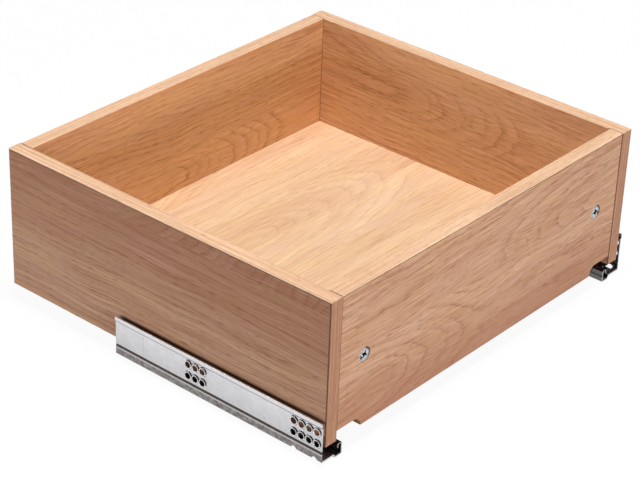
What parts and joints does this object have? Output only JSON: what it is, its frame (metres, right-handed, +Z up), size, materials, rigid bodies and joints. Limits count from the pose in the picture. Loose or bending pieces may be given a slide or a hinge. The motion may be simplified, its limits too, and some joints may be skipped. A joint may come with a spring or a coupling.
{
  "type": "drawer box with concealed ball-bearing slides",
  "caption": "Oak-effect flat-pack drawer box on a pair of concealed partial-extension ball-bearing slides that hook and catch under it.",
  "frame": {"origin": "under the middle of the part, at the level of the lowest faces of the cabinet rails", "axes": "+X across the drawer to its right as seen from the front, +Y towards the back, +Z up; the drawer opens towards -Y"},
  "size_m": [0.464, 0.4014, 0.1655],
  "materials": {
    "oak_side": "oak-effect melamine, grain along the drawer",
    "oak_end": "oak-effect melamine, grain across the drawer",
    "oak_floor": "light oak-effect melamine",
    "edge_band": "oak-effect edging",
    "galvanised": "galvanised sheet steel",
    "zinc": "die-cast zinc",
    "steel": "zinc-plated steel",
    "ball_steel": "polished steel balls",
    "cage_plastic": "natural moulded plastic",
    "catch_plastic": "grey moulded plastic",
    "lever_plastic": "orange moulded plastic",
    "beech": "beech dowel"
  },
  "bodies": {
    "cabinet_rails": {"cabinet_rail_left": "galvanised", "cabinet_rail_right": "galvanised"},
    "drawer": {"side_panel_left": "oak_side", "side_panel_right": "oak_side", "front_panel": "oak_end", "back_panel": "oak_end", "bottom_panel": "oak_floor", "edge_bands_top": "edge_band", "edge_bands_ends": "edge_band", "cam_lock_front_left": "zinc", "cam_lock_front_right": "zinc", "cam_lock_back_left": "zinc", "cam_lock_back_right": "zinc", "cam_bolts": "steel", "corner_dowels": "beech", "drawer_rail_left": "galvanised", "drawer_rail_right": "galvanised", "catch_housing_left": "catch_plastic", "catch_housing_right": "catch_plastic", "catch_spring_left": "steel", "catch_spring_right": "steel", "catch_screws": "steel", "rear_hook_left": "steel", "rear_hook_right": "steel", "hook_rivets": "steel"},
    "cage_left": {"ball_cage_left": "cage_plastic", "balls_left": "ball_steel"},
    "cage_right": {"ball_cage_right": "cage_plastic", "balls_right": "ball_steel"},
    "lever_left": {"catch_lever_left": "lever_plastic"},
    "lever_right": {"catch_lever_right": "lever_plastic"}
  },
  "joints": [
    {"name": "drawer_slide", "type": "slide", "parent": "cabinet_rails", "child": "drawer", "axis": [0, -1, 0], "range_m": [0, 0.29]},
    {"name": "cage_left_slide", "type": "slide", "parent": "cabinet_rails", "child": "cage_left", "axis": [0, -1, 0], "range_m": [0, 0.145]},
    {"name": "cage_right_slide", "type": "slide", "parent": "cabinet_rails", "child": "cage_right", "axis": [0, -1, 0], "range_m": [0, 0.145]},
    {"name": "catch_left_release", "type": "hinge", "parent": "drawer", "child": "lever_left", "pos_m": [-0.1789, -0.13655, 0.019], "axis": [0, 0, 1], "range_deg": [0, 9], "stiffness_Nm_per_rad": 0.15, "springref_deg": -8.59},
    {"name": "catch_right_release", "type": "hinge", "parent": "drawer", "child": "lever_right", "pos_m": [0.1789, -0.13655, 0.019], "axis": [0, 0, -1], "range_deg": [0, 9], "stiffness_Nm_per_rad": 0.15, "springref_deg": -8.59}
  ],
  "couplings": [
    {"joint": "cage_left_slide", "follows": "drawer_slide", "ratio": 0.5},
    {"joint": "cage_right_slide", "follows": "drawer_slide", "ratio": 0.5}
  ]
}
